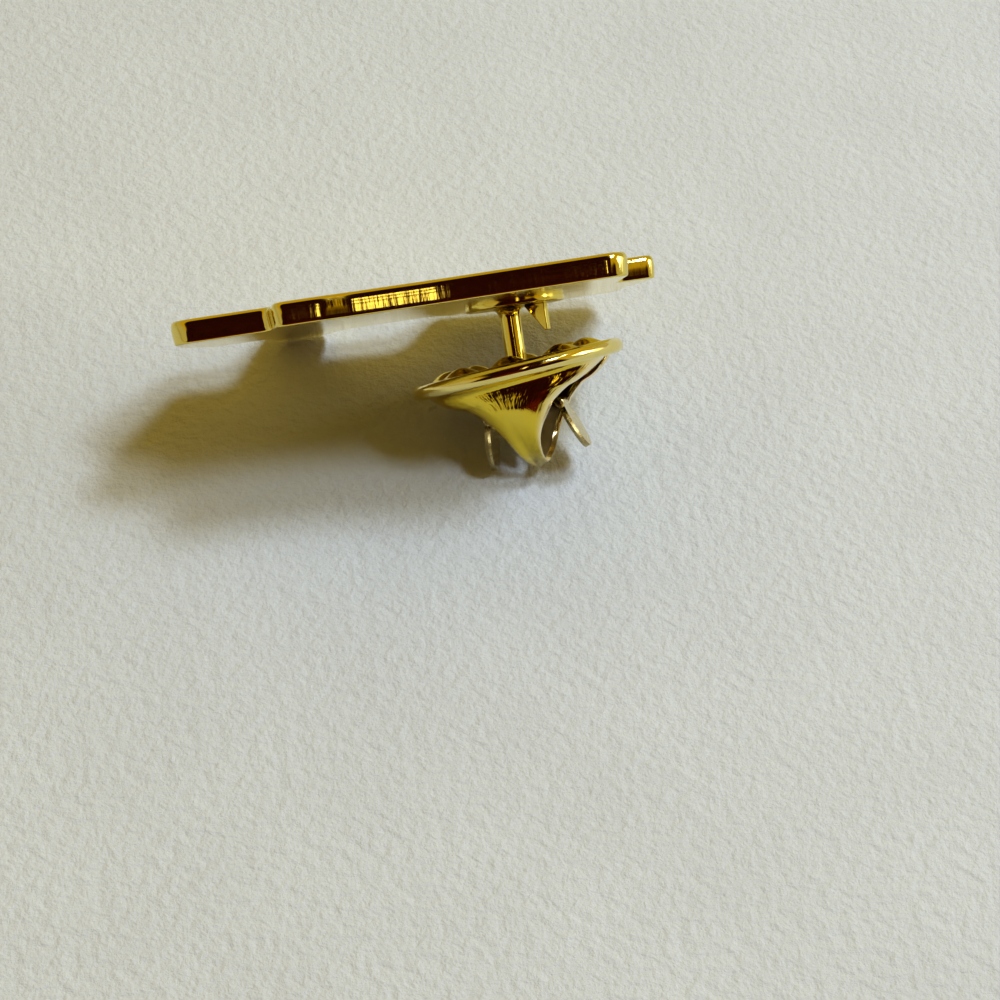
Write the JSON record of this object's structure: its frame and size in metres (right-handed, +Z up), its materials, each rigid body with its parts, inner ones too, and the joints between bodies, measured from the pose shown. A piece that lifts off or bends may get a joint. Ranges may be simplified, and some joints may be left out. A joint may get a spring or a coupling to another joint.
{
  "type": "lapel pin",
  "caption": "Gold-plated lapel pin lying on its edge: a flat struck badge with a soldered post and spur, and a butterfly clutch with two squeeze wings on the post",
  "frame": {"origin": "middle of the pin's footprint on the surface that it lies on, Z = 0 is that surface", "axes": "+X along the badge's length to its post end, +Y from the clutch towards the badge's face, +Z up"},
  "size_m": [0.0254, 0.0136, 0.0163],
  "materials": {
    "badge_gold": "polished gold plate over struck brass",
    "clutch_gold": "polished gold plate over stamped brass",
    "wing_gold": "pale gold plate over spring brass, slightly satin"
  },
  "bodies": {
    "badge": {"badge": "badge_gold"},
    "clutch": {"clutch_plate": "clutch_gold", "clutch_shell": "clutch_gold"},
    "left_wing": {"left_wing": "wing_gold"},
    "right_wing": {"right_wing": "wing_gold"}
  },
  "joints": [
    {"name": "clutch_slide", "type": "slide", "parent": "badge", "child": "clutch", "axis": [0.0591, -0.7466, -0.6626], "range_m": [-0.0003, 0.005]},
    {"name": "left_squeeze", "type": "hinge", "parent": "clutch", "child": "left_wing", "pos_m": [0.00369, -0.00346, 0.00233], "axis": [-0.3029, -0.6625, 0.6851], "range_deg": [0, 12], "stiffness_Nm_per_rad": 0.02},
    {"name": "right_squeeze", "type": "hinge", "parent": "clutch", "child": "right_wing", "pos_m": [0.00741, -0.00382, 0.00362], "axis": [0.3029, 0.6625, -0.6851], "range_deg": [0, 12], "stiffness_Nm_per_rad": 0.02}
  ]
}
